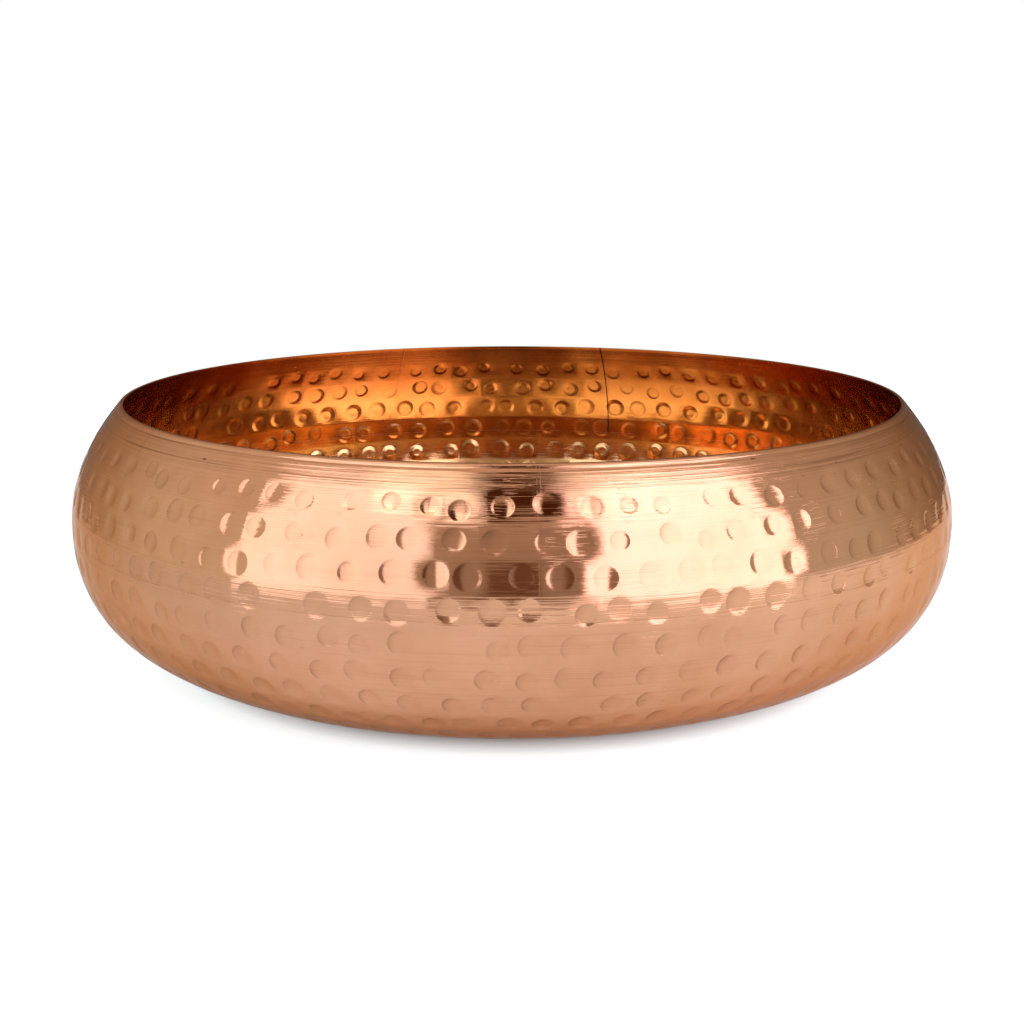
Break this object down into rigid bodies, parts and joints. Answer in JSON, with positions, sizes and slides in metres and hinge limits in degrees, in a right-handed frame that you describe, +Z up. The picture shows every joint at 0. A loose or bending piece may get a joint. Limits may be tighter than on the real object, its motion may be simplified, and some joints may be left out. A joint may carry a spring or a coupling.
{
  "type": "bowl",
  "caption": "Wide round hammered copper bowl with a flat bottom, a deep belly and a shoulder of brazed sheet panels that closes in to an open mouth.",
  "frame": {"origin": "centre of the flat underside, on the surface that the bowl stands on", "axes": "+Z up through the centre of the mouth, -Y towards the front"},
  "size_m": [0.305, 0.305, 0.09],
  "materials": {
    "hammered_copper": "hammered and brushed, satin",
    "brazing_metal": "filed flush, dull"
  },
  "bodies": {
    "root": {"lower_bowl": "hammered_copper", "front_panel": "hammered_copper", "left_panel": "hammered_copper", "back_panel": "hammered_copper", "right_panel": "hammered_copper", "girth_seam": "brazing_metal", "front_seam": "brazing_metal", "front_left_seam": "brazing_metal", "back_left_seam": "brazing_metal", "back_right_seam": "brazing_metal"}
  },
  "joints": []
}
